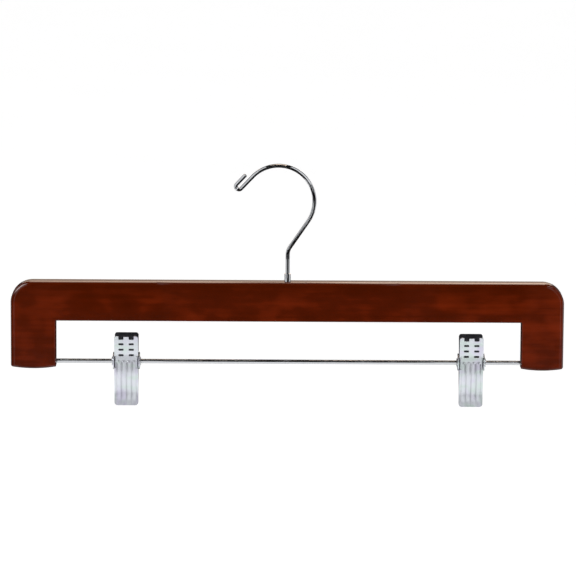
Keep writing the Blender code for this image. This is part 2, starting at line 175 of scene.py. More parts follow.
class HangerColours(PropertyGroup):
    """Colours of the finishes."""
    # Also the colour of the painted shade on the board's top, rounded edges and feet
    dark_stain_and_shade: colour("Dark stain", "#390D00", "Stain where it lies thickest")
    wood_mid: colour("Stain", "#461101", "Stain over most of the board")
    wood_light: colour("Light stain", "#5E1B05", "Stain where it was wiped thin")
    chrome: colour("Chrome", "#D2D4D8", "Chrome plating")
    zinc: colour("Zinc", "#B6B9BF", "Blue passivated zinc plating")
    zinc_violet: colour("Zinc, violet", "#B0ADBE", "Violet tint in the passivation")
    zinc_green: colour("Zinc, green", "#AEBAB6", "Green tint in the passivation")
    # Painted shade: dark grey laid over the plate inside a clip and down its flutes
    zinc_painted_shade: colour("Zinc, dull", "#55565C", "Thin plating inside a clip and down its flutes")
    warm: colour("Warm light", "#FFE4CC", "Light on the back wall, which the lacquer mirrors")
    steel: colour("Steel", "#A9ABAE", "Bare drawn steel")
    floor: colour("Floor", "#F4F4F4", "Floor under the hanger")


class HangerStage(PropertyGroup):
    """Camera, lamps, floor and the room that the cards stand for."""
    distance: length("Distance", 2.6, "Camera to the hanger")
    floor_drop: length("Floor drop", 1.0, "Floor below the rail")
    lamp_size: length("Lamp size", 1.5, "Side of each square softbox")
    lamp_distance: length("Lamp distance", 2.4, "Softbox to the hanger")
    lamp_power: FloatProperty(name="Lamp power", description="Power of each softbox",
                              default=48.0, min=0.0, unit='POWER')
    back_wall: length("Back wall", 1.6, "Hanger to the cards behind it")
    front_wall: length("Front wall", 2.6, "Hanger to the cards in front of it")
    ceiling: length("Ceiling", 2.6, "Rail to the cards overhead")
    aim_right: length("Aim right", 0.0003, "Picture's middle, right of the swivel axis")
    aim_drop: length("Aim drop", 0.0771, "Picture's middle, below the rail")
    glow: FloatProperty(name="Glow", description="Strength of the lit cards high behind and overhead",
                        default=7.5, min=0.0)
    low_glow: FloatProperty(name="Low glow", description="Strength of the lit card low behind",
                            default=0.7875, min=0.0)
    room_light: FloatProperty(name="Room light", description="Strength of the light from all round",
                              default=0.45, min=0.0)
    elevation: FloatProperty(name="Elevation", description="Camera's angle above level",
                             default=math.radians(9.3), subtype='ANGLE')
    azimuth: FloatProperty(name="Azimuth", description="Camera's angle round to the right",
                           default=math.radians(-0.4), subtype='ANGLE')
    roll: FloatProperty(name="Roll", description="Camera's turn about its own line of sight",
                        default=math.radians(0.36), subtype='ANGLE')
    focal_share: FloatProperty(name="Focal share", description="Lens over sensor width",
                               default=7.012, min=0.1)


def deselect():
    """Leave nothing selected, in object mode."""
    if bpy.context.mode != 'OBJECT':
        bpy.ops.object.mode_set(mode='OBJECT')
    bpy.ops.object.select_all(action='DESELECT')


def named(name):
    """Name the piece just added, and put its place into its mesh."""
    bpy.ops.object.transform_apply(location=True, rotation=True, scale=True)
    piece = bpy.context.object
    piece.name = name
    piece.data.name = name
    return piece


def work_on(piece, mode='OBJECT'):
    """Make one piece the selected one, in object or edit mode."""
    deselect()
    piece.select_set(True)
    bpy.context.view_layer.objects.active = piece
    bpy.ops.object.mode_set(mode=mode)
    if mode == 'EDIT':
        bpy.ops.mesh.select_mode(type='VERT')


def middle(thing):
    """The middle of a vertex, an edge or a face."""
    if isinstance(thing, bmesh.types.BMVert):
        return thing.co
    if isinstance(thing, bmesh.types.BMEdge):
        return (thing.verts[0].co + thing.verts[1].co) / 2
    return thing.calc_center_median()


def pick(kind, test):
    """Select the vertices, edges or faces that pass a test, and nothing else; say how many."""
    bpy.ops.mesh.select_mode(type=kind)
    bpy.ops.mesh.select_all(action='DESELECT')
    mesh = bpy.context.edit_object.data
    bm = bmesh.from_edit_mesh(mesh)
    things = {'VERT': bm.verts, 'EDGE': bm.edges, 'FACE': bm.faces}[kind]
    chosen = [thing for thing in things if test(thing)]
    for thing in chosen:
        thing.select_set(True)
    bm.select_flush_mode()
    bmesh.update_edit_mesh(mesh)
    if not chosen:
        raise RuntimeError("nothing to select on " + bpy.context.edit_object.name)
    return len(chosen)


def near(value, place, reach=0.00001):
    """Whether a coordinate is at a place."""
    return abs(value - place) < reach


def extrude(offset):
    """Extrude what is selected by a vector."""
    bpy.ops.mesh.extrude_region_move(TRANSFORM_OT_translate={"value": offset})


def resize(scale, centre):
    """Scale what is selected about a point."""
    bpy.ops.transform.resize(value=scale, center_override=centre)


def move(offset):
    """Move what is selected."""
    bpy.ops.transform.translate(value=offset)


def tidy_normals():
    """Merge doubles and turn every face outwards."""
    bpy.ops.mesh.select_all(action='SELECT')
    bpy.ops.mesh.remove_doubles(threshold=weld_distance)
    bpy.ops.mesh.normals_make_consistent(inside=False)


def apply_modifier(piece, kind, **settings):
    """Add a modifier with its settings, and apply it."""
    work_on(piece)
    bpy.ops.object.modifier_add(type=kind)
    modifier = piece.modifiers[-1]
    for name, value in settings.items():
        setattr(modifier, name, value)
    bpy.ops.object.modifier_apply(modifier=modifier.name)


def carve(piece, cutter):
    """Cut one piece out of another, and delete the cutter."""
    apply_modifier(piece, 'BOOLEAN', operation='DIFFERENCE', solver='EXACT', object=cutter)
    bpy.data.objects.remove(cutter, do_unlink=True)


def join(name, parts):
    """Join several pieces into one."""
    deselect()
    for part in parts:
        part.select_set(True)
    bpy.context.view_layer.objects.active = parts[0]
    bpy.ops.object.join()
    joined = bpy.context.object
    joined.name = name
    joined.data.name = name
    return joined


def smooth(piece, degrees=35):
    """Shade smooth, but keep the edges that are sharper than an angle."""
    work_on(piece)
    bpy.ops.object.shade_smooth_by_angle(angle=math.radians(degrees))


def copy_to(piece, name, offset):
    """A copy of a piece, with its own mesh, moved to its place."""
    work_on(piece)
    bpy.ops.object.duplicate()
    made = bpy.context.object
    made.name = name
    made.data.name = name
    shift(made, offset)
    return made


def shift(piece, offset):
    """Move a piece by moving its mesh."""
    work_on(piece, 'EDIT')
    bpy.ops.mesh.select_all(action='SELECT')
    move(offset)
    bpy.ops.object.mode_set(mode='OBJECT')


def block(name, low, high):
    """A box between two corners, as a start for a shape."""
    deselect()
    centre = [(a + b) / 2 for a, b in zip(low, high)]
    extent = [b - a for a, b in zip(low, high)]
    bpy.ops.mesh.primitive_cube_add(size=1, location=centre, scale=extent)
    return named(name)


def turned(name, profile, centre, axis='Z', sides=48, closed=False):
    """Grow a turned piece along an axis from a circle, one (distance along, radius) ring after another."""
    deselect()
    fill = 'NOTHING' if closed else 'NGON'
    start, radius = profile[0]
    bpy.ops.mesh.primitive_circle_add(vertices=sides, radius=radius, fill_type=fill, location=(0, 0, start))
    piece = named(name)
    work_on(piece, 'EDIT')
    bpy.ops.mesh.select_all(action='SELECT')
    for (low, inner), (high, outer) in zip(profile, profile[1:]):
        extrude((0, 0, high - low))
        resize((outer / inner, outer / inner, 1), (0, 0, high))
    tidy_normals()
    bpy.ops.object.mode_set(mode='OBJECT')
    if axis == 'X':
        piece.rotation_euler = (0, math.pi / 2, 0)
    piece.location = centre
    bpy.ops.object.transform_apply(location=True, rotation=True, scale=True)
    smooth(piece)
    return piece


def rounded_profile(low, high, radius, rounding, steps=4):
    """A round bar's half section, with rounded ends that are all but closed at the axis."""
    turn = [math.pi / 2 * i / steps for i in range(steps + 1)]
    arc = [(rounding * (1 - math.sin(a)), radius - rounding * (1 - math.cos(a))) for a in turn]
    return [(low + inset, r) for inset, r in reversed(arc)] + [(high - inset, r) for inset, r in arc]


def dress(piece, body, replaced, material):
    """Give a finished piece its material, the CAD body it rides on and the nodes it stands for."""
    piece.data.materials.clear()
    piece.data.materials.append(material)
    if body:
        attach(piece, body)
    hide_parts(replaced)


# Materials


def feed(tree, node, inputs):
    """Join a node's inputs to sockets, or set them to values, by name, by number or in order."""
    for key, value in inputs.items() if isinstance(inputs, dict) else enumerate(inputs):
        if isinstance(value, bpy.types.NodeSocket):
            tree.links.new(value, node.inputs[key])
        else:
            node.inputs[key].default_value = value


def add_node(tree, kind, inputs=(), output=0, **settings):
    """Add a node with its settings and inputs, and give the output that the next node reads."""
    made = tree.nodes.new('ShaderNode' + kind)
    for name, value in settings.items():
        setattr(made, name, value)
    feed(tree, made, inputs)
    return made.outputs[output]


def new_material(name):
    """An empty material with its tree, its shader and the Object coordinates."""
    material = bpy.data.materials.new(name)
    material.use_nodes = True
    tree = material.node_tree
    return material, tree, tree.nodes["Principled BSDF"], add_node(tree, 'TexCoord', output="Object")


def blotches(tree, place, size, detail=2.0, roughness=0.5, turn=(0, 0, 0)):
    """A random pattern whose blotches have a real size in metres along X, Y and Z."""
    stretched = add_node(tree, 'Mapping', {"Vector": place, "Rotation": turn,
                                           "Scale": [1 / s for s in size]})
    return add_node(tree, 'TexNoise', {"Vector": stretched, "Scale": 1.0, "Detail": detail,
                                       "Roughness": roughness})


def face_way(tree):
    """How far a face looks along Y."""
    normal = add_node(tree, 'TexCoord', output="Normal")
    return add_node(tree, 'SeparateXYZ', (normal,), output="Y")


def opaque(rgb):
    """A colour property as the four numbers that a socket takes."""
    return (*rgb, 1.0)


def stain_tone(tree, place, reach):
    """How light the stain lies: long soft figure along the bar, clouds, and arms wiped thinner."""
    figure = blotches(tree, place, (0.055, 0.009, 0.0035), detail=3.0, roughness=0.55)
    cloud = blotches(tree, place, (0.022, 0.014, 0.012))
    arm_side = half_width - bpy.context.scene.hanger_board.left_arm
    fade = 0.005
    arm = add_node(tree, 'MapRange', (reach, arm_side - fade, arm_side + fade, 0.0, 0.14))
    cloudy = add_node(tree, 'MapRange', (cloud, 0.32, 0.68, 0.0, 0.5))
    figured = add_node(tree, 'MapRange', (figure, 0.30, 0.70, 0.0, 0.3))
    wiped = add_node(tree, 'Math', (cloudy, arm), operation='ADD')
    return add_node(tree, 'Math', (figured, wiped), operation='ADD')


def painted_shade_depth(tree, height, foot_low):
    """How much painted shade, in the dark stain's colour, lies over the rest: along the feet's bottoms,
    towards the bar's top edge, and where the board turns away at its rounded edges."""
    foot_shade_height, top_shade_reach, top_shade_end = 0.0018, 0.012, 0.002
    foot = add_node(tree, 'MapRange', (height, foot_low, foot_low + foot_shade_height, 0.8, 0.0))
    top = add_node(tree, 'MapRange', (height, bar_top - top_shade_reach, bar_top - top_shade_end, 0.0, 0.75))
    flatness = add_node(tree, 'Math', (face_way(tree),), operation='ABSOLUTE')
    rim = add_node(tree, 'MapRange', (flatness, 0.97, 0.60, 0.0, 0.9))
    ends = add_node(tree, 'Math', (top, foot), operation='MAXIMUM')
    return add_node(tree, 'Math', (rim, ends), operation='MAXIMUM')


def stained_wood(colours):
    """Beech under mahogany stain and glossy lacquer: deep red-brown, with cloudy stain, fine dark pores,
    painted shade towards the top edge, the rounded edges and the feet, and a clear coat that shows the lamps
    along its round edges."""
    material, tree, shader, place = new_material("stained_lacquered_beech")
    across = add_node(tree, 'SeparateXYZ', (place,), output="X")
    reach = add_node(tree, 'Math', (across,), operation='ABSOLUTE')
    height = add_node(tree, 'SeparateXYZ', (place,), output="Z")
    foot_low = board_low.z + 0.0008
    tone = stain_tone(tree, place, reach)
    # Pores are a tenth of this across, and are drawn coarser so that they show
    pores = blotches(tree, place, (0.010, 0.0010, 0.0007), roughness=0.6)
    # Lacquer flows out to a faint orange peel, a few millimetres from crest to crest
    peel = blotches(tree, place, (0.0035, 0.0035, 0.0035), detail=1.0)
    layers = ((add_node(tree, 'MapRange', (tone, 0.05, 0.50)), colours.wood_mid),
              (add_node(tree, 'MapRange', (tone, 0.40, 0.90)), colours.wood_light),
              (add_node(tree, 'MapRange', (pores, 0.60, 0.74, 0.0, 0.35)), colours.dark_stain_and_shade),
              # Last layer: painted shade in the dark stain's colour
              (painted_shade_depth(tree, height, foot_low), colours.dark_stain_and_shade))
    stain = opaque(colours.dark_stain_and_shade)
    for share, over in layers:
        stain = add_node(tree, 'Mix', {0: share, 6: stain, 7: opaque(over)}, output=2, data_type='RGBA')
    # The coat is the only surface that shines, less so on the feet's end grain; the wood under it doesn't
    feed(tree, shader, {
        "Base Color": stain,
        "Roughness": 0.42,
        "IOR": 1.45,
        "Specular IOR Level": 0.0,
        "Coat Weight": add_node(tree, 'MapRange', (height, foot_low, foot_low + 0.0014, 0.25, 1.0)),
        "Coat Roughness": 0.09,
        "Coat IOR": 1.45,
        "Coat Normal": add_node(tree, 'Bump', {"Height": peel, "Strength": 0.10, "Distance": 0.00012}),
        "Normal": add_node(tree, 'Bump', {"Height": pores, "Strength": 0.25, "Distance": 0.00008}),
    })
    return material


def end_grain(colours):
    """Beech dowel, cut across and stained: darker than the board, because end grain drinks the stain."""
    material, tree, shader, place = new_material("stained_end_grain")
    rings = blotches(tree, place, (0.004, 0.0007, 0.0007))
    share = add_node(tree, 'MapRange', (rings, 0.35, 0.65))
    dark, light = opaque(colours.dark_stain_and_shade), opaque(colours.wood_mid)
    feed(tree, shader, {
        "Base Color": add_node(tree, 'Mix', {0: share, 6: dark, 7: light}, output=2, data_type='RGBA'),
        "Roughness": 0.5,
        "Coat Weight": 1.0,
        "Coat Roughness": 0.15,
        "Normal": add_node(tree, 'Bump', {"Height": rings, "Strength": 0.3, "Distance": 0.0001}),
    })
    return material


def plated(name, rgb, smudge_size, low, high, scratch_size, depth):
    """A bright metal: its roughness drifts with smudges, and fine scratches break its shine."""
    material, tree, shader, place = new_material(name)
    smudge = blotches(tree, place, (smudge_size,) * 3, detail=3.0)
    scratch = blotches(tree, place, scratch_size)
    feed(tree, shader, {
        "Base Color": opaque(rgb),
        "Metallic": 1.0,
        "Roughness": add_node(tree, 'MapRange', (smudge, 0.35, 0.65, low, high)),
        "Normal": add_node(tree, 'Bump', {"Height": scratch, "Strength": 0.2, "Distance": depth}),
    })
    return material, tree, shader, place


def bright_chrome(colours):
    """Chrome plating over polished wire: a mirror with a dark core and white edges."""
    return plated("polished_chrome_plate", colours.chrome, 0.006, 0.03, 0.06,
                  (0.0012, 0.0012, 0.004), 0.00001)[0]


def drawn_steel(colours):
    """Bright drawn rod: fine die lines run along it and blur its reflections across."""
    return plated("bright_drawn_steel_rod", colours.steel, 0.010, 0.16, 0.26,
                  (0.030, 0.0003, 0.0003), 0.00002)[0]


def spring_steel(colours):
    """Bright spring wire: grey, slightly rough from drawing and winding."""
    return plated("bright_spring_wire", colours.steel, 0.002, 0.22, 0.34,
                  (0.0006, 0.0006, 0.0006), 0.00002)[0]


def passivated_zinc(colours):
    """Pressed steel, barrel plated with zinc and passivated: bright silver with faint violet and green
    clouds, a shine softened by the tumbling, and painted shade, a dark grey, laid inside the clip and
    down its flutes."""
    material, tree, shader, place = plated("blue_passivated_zinc_plate", colours.zinc, 0.004, 0.34, 0.42,
                                           (0.0008, 0.0008, 0.0022), 0.00002)
    violet = blotches(tree, place, (0.006, 0.006, 0.011), detail=1.0)
    green = blotches(tree, place, (0.009, 0.005, 0.006), detail=1.0, turn=(0.4, 0.9, 0.2))
    # A face looks into the clip where its normal points back to the rod's plane; such faces get painted
    # shade
    depth = add_node(tree, 'SeparateXYZ', (place,), output="Y")
    outward = add_node(tree, 'Math', (face_way(tree), depth), operation='MULTIPLY')
    inside = add_node(tree, 'MapRange', (outward, 0.0, -0.0002))
    # A flute's floor is hollow, so its pointiness is under a half; these floors get painted shade
    hollow = add_node(tree, 'NewGeometry', output="Pointiness")
    flute = add_node(tree, 'MapRange', (hollow, 0.498, 0.482, 0.0, 0.4))
    layers = ((add_node(tree, 'MapRange', (violet, 0.45, 0.65, 0.0, 0.8)), colours.zinc_violet),
              (add_node(tree, 'MapRange', (green, 0.50, 0.68, 0.0, 0.8)), colours.zinc_green),
              (add_node(tree, 'Math', (inside, flute), operation='MAXIMUM'), colours.zinc_painted_shade))
    plate = opaque(colours.zinc)
    for share, over in layers:
        plate = add_node(tree, 'Mix', {0: share, 6: plate, 7: opaque(over)}, output=2, data_type='RGBA')
    feed(tree, shader, {"Base Color": plate})
    return material


def material_of(context, name):
    """The material with this job, made the first time it is asked for."""
    makers = {"wood": stained_wood, "dowel": end_grain, "chrome": bright_chrome,
              "rod": drawn_steel, "spring": spring_steel, "zinc": passivated_zinc}
    key = "hanger_" + name
    found = next((m for m in bpy.data.materials if m.get("hanger_job") == key), None)
    if found is None:
        found = makers[name](context.scene.hanger_colours)
        found["hanger_job"] = key
    return found


# Board, rod and dowels


def weigh_edges(weight, test):
    """Give the edges that pass a test a bevel weight."""
    pick('EDGE', test)
    bpy.ops.transform.edge_bevelweight(value=weight)


def window_sides(sizes):
    """Where the window between the arms starts and ends."""
    return sizes.left_arm - half_width, half_width - sizes.right_arm


def shape_board(sizes):
    """The bar with its two arms, its shoulders and its bowed feet, before its edges are rounded."""
    board = block("lacquered_board", (-half_width, board_low.y, bar_top - sizes.bar_height), board_high)
    left, right = window_sides(sizes)
    bar_under, foot_level = bar_top - sizes.bar_height, board_low.z + sizes.foot_bow
    work_on(board, 'EDIT')
    for x in (left, right):
        bpy.ops.mesh.select_all(action='SELECT')
        bpy.ops.mesh.bisect(plane_co=(x, 0, 0), plane_no=(1, 0, 0), threshold=weld_distance)
    pick('FACE', lambda f: f.normal.z < -0.9 and not left < middle(f).x < right)
    extrude((0, 0, foot_level - bar_under))
    pick('EDGE', lambda e: near(abs(e.verts[0].co.x), half_width) and near(e.verts[0].co.x, e.verts[1].co.x)
         and near(e.verts[0].co.z, bar_top) and near(e.verts[1].co.z, bar_top))
    bpy.ops.mesh.bevel(offset=sizes.shoulder_radius, segments=28, affect='EDGES')
    bow_foot(sizes, foot_level)
    return board


def bow_foot(sizes, foot_level, cuts=11):
    """Subdivide each foot's bottom along the bar, and let its middle down in a shallow arc."""
    pick('EDGE', lambda e: near(e.verts[0].co.z, foot_level) and near(e.verts[1].co.z, foot_level)
         and near(e.verts[0].co.y, e.verts[1].co.y))
    bpy.ops.mesh.subdivide(number_cuts=cuts)
    for side, arm in ((-1, sizes.left_arm), (1, sizes.right_arm)):
        for i in range(1, cuts + 1):
            share = 2 * i / (cuts + 1) - 1
            x = side * (half_width - arm / 2 + share * arm / 2)
            pick('VERT', lambda v: near(v.co.x, x) and near(v.co.z, foot_level))
            move((0, 0, -sizes.foot_bow * (1 - share ** 2)))


def round_board(board, sizes):
    """Round the board's edges, each stretch by its own radius."""
    left, right = window_sides(sizes)
    bar_under, foot_level = bar_top - sizes.bar_height, board_low.z + sizes.foot_bow
    work_on(board, 'EDIT')

    def on_face(e):
        return near(abs(e.verts[0].co.y), board_high.y) and near(e.verts[0].co.y, e.verts[1].co.y)

    def at_foot(e):
        return on_face(e) and all(v.co.z < foot_level + weld_distance for v in e.verts)

    def at_window(e):
        level = near(e.verts[0].co.z, bar_under) and near(e.verts[1].co.z, bar_under)
        upright = any(near(e.verts[0].co.x, x) and near(e.verts[1].co.x, x) for x in (left, right))
        return on_face(e) and (level or upright) and middle(e).z < bar_under + weld_distance

    def at_outside(e):
        outer = abs(middle(e).x) > half_width - sizes.shoulder_radius \
            and any(abs(f.normal.y) < 0.5 for f in e.link_faces)
        return on_face(e) and not at_foot(e) and (outer or near(middle(e).z, bar_top))

    def at_corner(e):
        return near(abs(e.verts[0].co.x), half_width) and not on_face(e) \
            and near(e.verts[0].co.z, foot_level) and near(e.verts[1].co.z, foot_level)

    weigh_edges(1, at_outside)
    weigh_edges(sizes.foot_round / sizes.edge_round, at_foot)
    weigh_edges(sizes.window_round / sizes.edge_round, at_window)
    weigh_edges(sizes.foot_corner / sizes.edge_round, at_corner)
    apply_modifier(board, 'BEVEL', limit_method='WEIGHT', width=sizes.edge_round, segments=9,
                   harden_normals=False)


def drill_board(board, sizes):
    """Drill the board for the hook's bush and washer, and for the rod and its dowels."""
    gap = sizes.touch_gap
    bar_under = bar_top - sizes.bar_height
    overrun = gap * 5
    bush_radius = (bush_high.x - bush_low.x) / 2 + gap
    washer_radius = (washer_high.x - washer_low.x) / 2 + gap
    stem_radius = bpy.context.scene.hanger_hook.wire / 2 + gap
    hook_wall = [(bar_under - overrun, washer_radius), (washer_high.z + gap, washer_radius),
                 (washer_high.z + gap, stem_radius), (bush_low.z - gap, stem_radius),
                 (bush_low.z - gap, bush_radius), (bar_top + overrun, bush_radius)]
    carve(board, turned("hook_hole", hook_wall, (0, 0, 0)))
    rod_radius = (rod_high.z - rod_low.z) / 2 + gap
    plug_radius = (plug_high.z - plug_low.z) / 2 + gap
    plug_end = plug_low.x - gap
    rod_wall = [(plug_end, rod_radius), (plug_end, plug_radius), (half_width + overrun, plug_radius)]
    both = [(-along, radius) for along, radius in reversed(rod_wall)] + rod_wall
    carve(board, turned("rod_hole", both, (0, 0, rod_level), axis='X'))


class HANGER_OT_board(Operator):
    """Model the one-piece wooden board, with rounded edges and drilled holes"""
    bl_idname = "hanger.board"
    bl_label = "Wooden board"

    def execute(self, context):
        sizes = context.scene.hanger_board
        board = shape_board(sizes)
        round_board(board, sizes)
        drill_board(board, sizes)
        smooth(board, 30)
        apply_modifier(board, 'WEIGHTED_NORMAL', keep_sharp=True, weight=100)
        dress(board, "board", "wooden_board", material_of(context, "wood"))
        return {'FINISHED'}


class HANGER_OT_rod(Operator):
    """Model the cross rod, and the dowels that close its holes"""
    bl_idname = "hanger.rod"
    bl_label = "Rod and dowels"

    def execute(self, context):
        sizes = context.scene.hanger_board
        radius = (rod_high.z - rod_low.z) / 2
        profile = rounded_profile(rod_low.x, rod_high.x, radius, sizes.rod_chamfer)
        rod = turned("drawn_rod", profile, (0, 0, rod_level), axis='X')
        dress(rod, "board", "cross_rod", material_of(context, "rod"))
        radius = (plug_high.z - plug_low.z) / 2
        profile = rounded_profile(plug_low.x, plug_high.x, radius, sizes.rod_chamfer)
        for side, sign in (("right", 1), ("left", -1)):
            ends = profile if sign > 0 else [(-along, r) for along, r in reversed(profile)]
            dowel = turned(side + "_dowel", ends, (0, 0, rod_level), axis='X')
            dress(dowel, "board", side + "_rod_plug", material_of(context, "dowel"))
        return {'FINISHED'}


# Hook, bush and washer


def bend_wire(angle, centre, axis, steps):
    """Spin the wire's end face about an axis; the operator turns clockwise about it."""
    bpy.ops.mesh.spin(steps=steps, angle=-angle, center=centre, axis=axis, use_auto_merge=False)


def model_hook(sizes):
    """Draw the hook as one wire: head, stem, bend, leg, loop, tail, curl and return."""
    centre = Vector((-sizes.loop_offset, 0, bar_top + sizes.loop_height))
    lean_point = Vector((0, 0, bar_top + sizes.stem_height))
    reach = centre - lean_point
    lean = math.asin(sizes.loop_radius / reach.length) - math.atan2(sizes.loop_offset, reach.z)
    tangent = sizes.bend_radius * math.tan(lean / 2)
    leg_start = lean_point + tangent * Vector((math.sin(lean), 0, math.cos(lean)))
    loop_start = centre + sizes.loop_radius * Vector((math.cos(lean), 0, -math.sin(lean)))
    radius = sizes.wire / 2
    head = sizes.head_diameter / 2
    edge = sizes.tip_round / 2
    bottom = hook_low.z
    stem = [(bottom, head - edge), (bottom + edge, head), (bottom + sizes.head_height - edge, head),
            (bottom + sizes.head_height, head - edge), (bottom + sizes.head_height, radius),
            (bar_top, radius), (lean_point.z - tangent, radius)]
    hook = turned("chromed_hook", stem, (0, 0, 0), sides=32)
    work_on(hook, 'EDIT')
    pick('FACE', lambda f: f.normal.z > 0.9 and middle(f).z > bar_top)
    bend_wire(lean, (sizes.bend_radius, 0, lean_point.z - tangent), (0, 1, 0), 12)
    extrude(loop_start - leg_start)
    slope = sizes.tail_slope
    bend_wire(math.pi / 2 + slope + lean, centre, (0, -1, 0), 96)
    run = Vector((-math.cos(slope), 0, -math.sin(slope)))
    outward = Vector((run.z, 0, -run.x))
    tail_start = centre + sizes.loop_radius * Vector((-math.sin(slope), 0, math.cos(slope)))
    extrude(run * sizes.tail_length)
    tail_end = tail_start + run * sizes.tail_length
    bend_wire(math.pi, tail_end + outward * sizes.curl_pitch / 2, (0, 1, 0), 24)
    back = -run
    end = tail_end + outward * sizes.curl_pitch
    round_tip(end, back, sizes)
    tidy_normals()
    bpy.ops.object.mode_set(mode='OBJECT')
    smooth(hook, 40)
    return hook


def round_tip(start, direction, sizes, steps=4):
    """Run the wire straight from a point, and round its cut end."""
    radius = sizes.wire / 2
    rounding = sizes.tip_round
    extrude(direction * (sizes.return_length - rounding))
    place = start + direction * (sizes.return_length - rounding)
    before = radius
    for i in range(1, steps + 1):
        angle = math.pi / 2 * i / steps
        step = rounding * (math.sin(angle) - math.sin(angle - math.pi / 2 / steps))
        after = radius - rounding * (1 - math.cos(angle))
        extrude(direction * step)
        place = place + direction * step
        resize((after / before,) * 3, place)
        before = after


class HANGER_OT_hook(Operator):
    """Model the wire hook, the bush that it turns in and the washer under its head"""
    bl_idname = "hanger.hook"
    bl_label = "Hook, bush and washer"

    def execute(self, context):
        sizes = context.scene.hanger_hook
        chrome = material_of(context, "chrome")
        dress(model_hook(sizes), "hook", "swivel_hook", chrome)
        outer = (bush_high.x - bush_low.x) / 2
        inner = outer - sizes.bush_wall
        lip = sizes.bush_wall / 2
        section = [(bush_low.z, inner), (bush_low.z, outer), (bush_high.z - lip, outer),
                   (bush_high.z - lip / 3, outer - lip / 3), (bush_high.z, outer - lip),
                   (bush_high.z, inner), (bush_low.z, inner)]
        bush = turned("chromed_bush", section, (0, 0, 0), closed=True)
        dress(bush, "board", "hook_bush", chrome)
        rim = (washer_high.x - washer_low.x) / 2
        section = [(washer_low.z, inner), (washer_low.z, rim - lip), (washer_low.z + lip, rim),
                   (washer_high.z - lip, rim), (washer_high.z, rim - lip), (washer_high.z, inner),
                   (washer_low.z, inner)]
        washer = turned("plated_washer", section, (0, 0, 0), closed=True)
        dress(washer, "board", "hook_washer", material_of(context, "zinc"))
        return {'FINISHED'}


# Clips: each piece is modelled about the rod's axis at the middle, then copied to its two places


def plate_middle(sizes, z):
    """How far a plate's middle surface stands from the rod's plane, at a height from the axis."""
    lip_top = jaw_bottom + sizes.lip_height
    lip = (sizes.touch_gap + sizes.sheet) / 2
    if z > sizes.belly_height:
        rise = (z - sizes.belly_height) / (tab_top - sizes.belly_height)
        return sizes.belly_middle + (sizes.tab_spread - sizes.belly_middle) * rise
    if z > -sizes.belly_height:
        return sizes.belly_middle
    if z < lip_top:
        return lip
    share = (z + sizes.belly_height) / (lip_top + sizes.belly_height)
    return lip + (sizes.belly_middle - lip) * (1 + math.cos(math.pi * share)) / 2


def eased_middle(sizes, z, ease=0.0010):
    """The plate's middle surface with its fold at the tab's foot eased to a small radius."""
    samples = [plate_middle(sizes, z + ease * k / 3) for k in range(-3, 4)]
    return sum(samples) / len(samples)


def rib_share(sizes, z):
    """How much of the full rib height the plate has at a height from the axis."""
    lip_top = jaw_bottom + sizes.lip_height
    if z > lip_top:
        rise = max(0.0, min(1.0, (sizes.rib_top - z) / sizes.rib_run_in))
        return rise * rise * (3 - 2 * rise)
    least_share = 0.3
    fade = 1.4
    return max(least_share, 1 - fade * (lip_top - z) / sizes.lip_height)


def plate_chain(name, half, pitch, facing, cuts=56):
    """The plate's cross-section through its ribs, as a chain of edges along X."""
    deselect()
    bpy.ops.mesh.primitive_plane_add(size=2 * half, location=(0, 0, 0))
    plate = named(name)
    work_on(plate, 'EDIT')
    pick('VERT', lambda v: v.co.y > 0)
    bpy.ops.mesh.delete(type='VERT')
    bpy.ops.mesh.select_all(action='SELECT')
    move((0, half, 0))
    bpy.ops.mesh.subdivide(number_cuts=cuts)
    for i in range(1, cuts + 1):
        x = half * (2 * i / (cuts + 1) - 1)
        wave = (1 - math.cos(math.tau * x / pitch)) / 2 if abs(x) < 2 * pitch else 0
        pick('VERT', lambda v: near(v.co.x, x))
        move((0, facing * wave, 0))
    return plate


def loft_plate(sizes, facing, rows=110):
    """Extrude the cross-section down the plate, row by row, with its ribs rising and fading."""
    bpy.ops.mesh.select_all(action='SELECT')
    flat = 0.000001
    resize((1, flat, 1), (0, 0, 0))
    before, height = Vector((0, 0, 0)), flat
    after = Vector((0, facing * eased_middle(sizes, tab_top), tab_top))
    move(after - before)
    for i in range(1, rows + 1):
        z = tab_top + (jaw_bottom - tab_top) * i / rows
        before, after = after, Vector((0, facing * eased_middle(sizes, z), z))
        extrude(after - before)
        wanted = max(flat, sizes.rib_rise * rib_share(sizes, z))
        if wanted != height:
            resize((1, wanted / height, 1), after)
            height = wanted


def clip_corners(sizes, half, steps=6):
    """Slice the plate's four corners round with tangent cuts."""
    for corner, radius, sign in ((tab_top, sizes.tab_corner, 1), (jaw_bottom, sizes.jaw_corner, -1)):
        for side in (-1, 1):
            centre = Vector((side * (half - radius), 0, corner - sign * radius))
            for i in range(1, steps):
                angle = math.pi / 2 * i / steps
                outward = Vector((side * math.cos(angle), 0, sign * math.sin(angle)))
                bpy.ops.mesh.select_all(action='SELECT')
                bpy.ops.mesh.bisect(plane_co=centre + outward * radius, plane_no=outward,
                                    clear_outer=True, threshold=weld_distance)


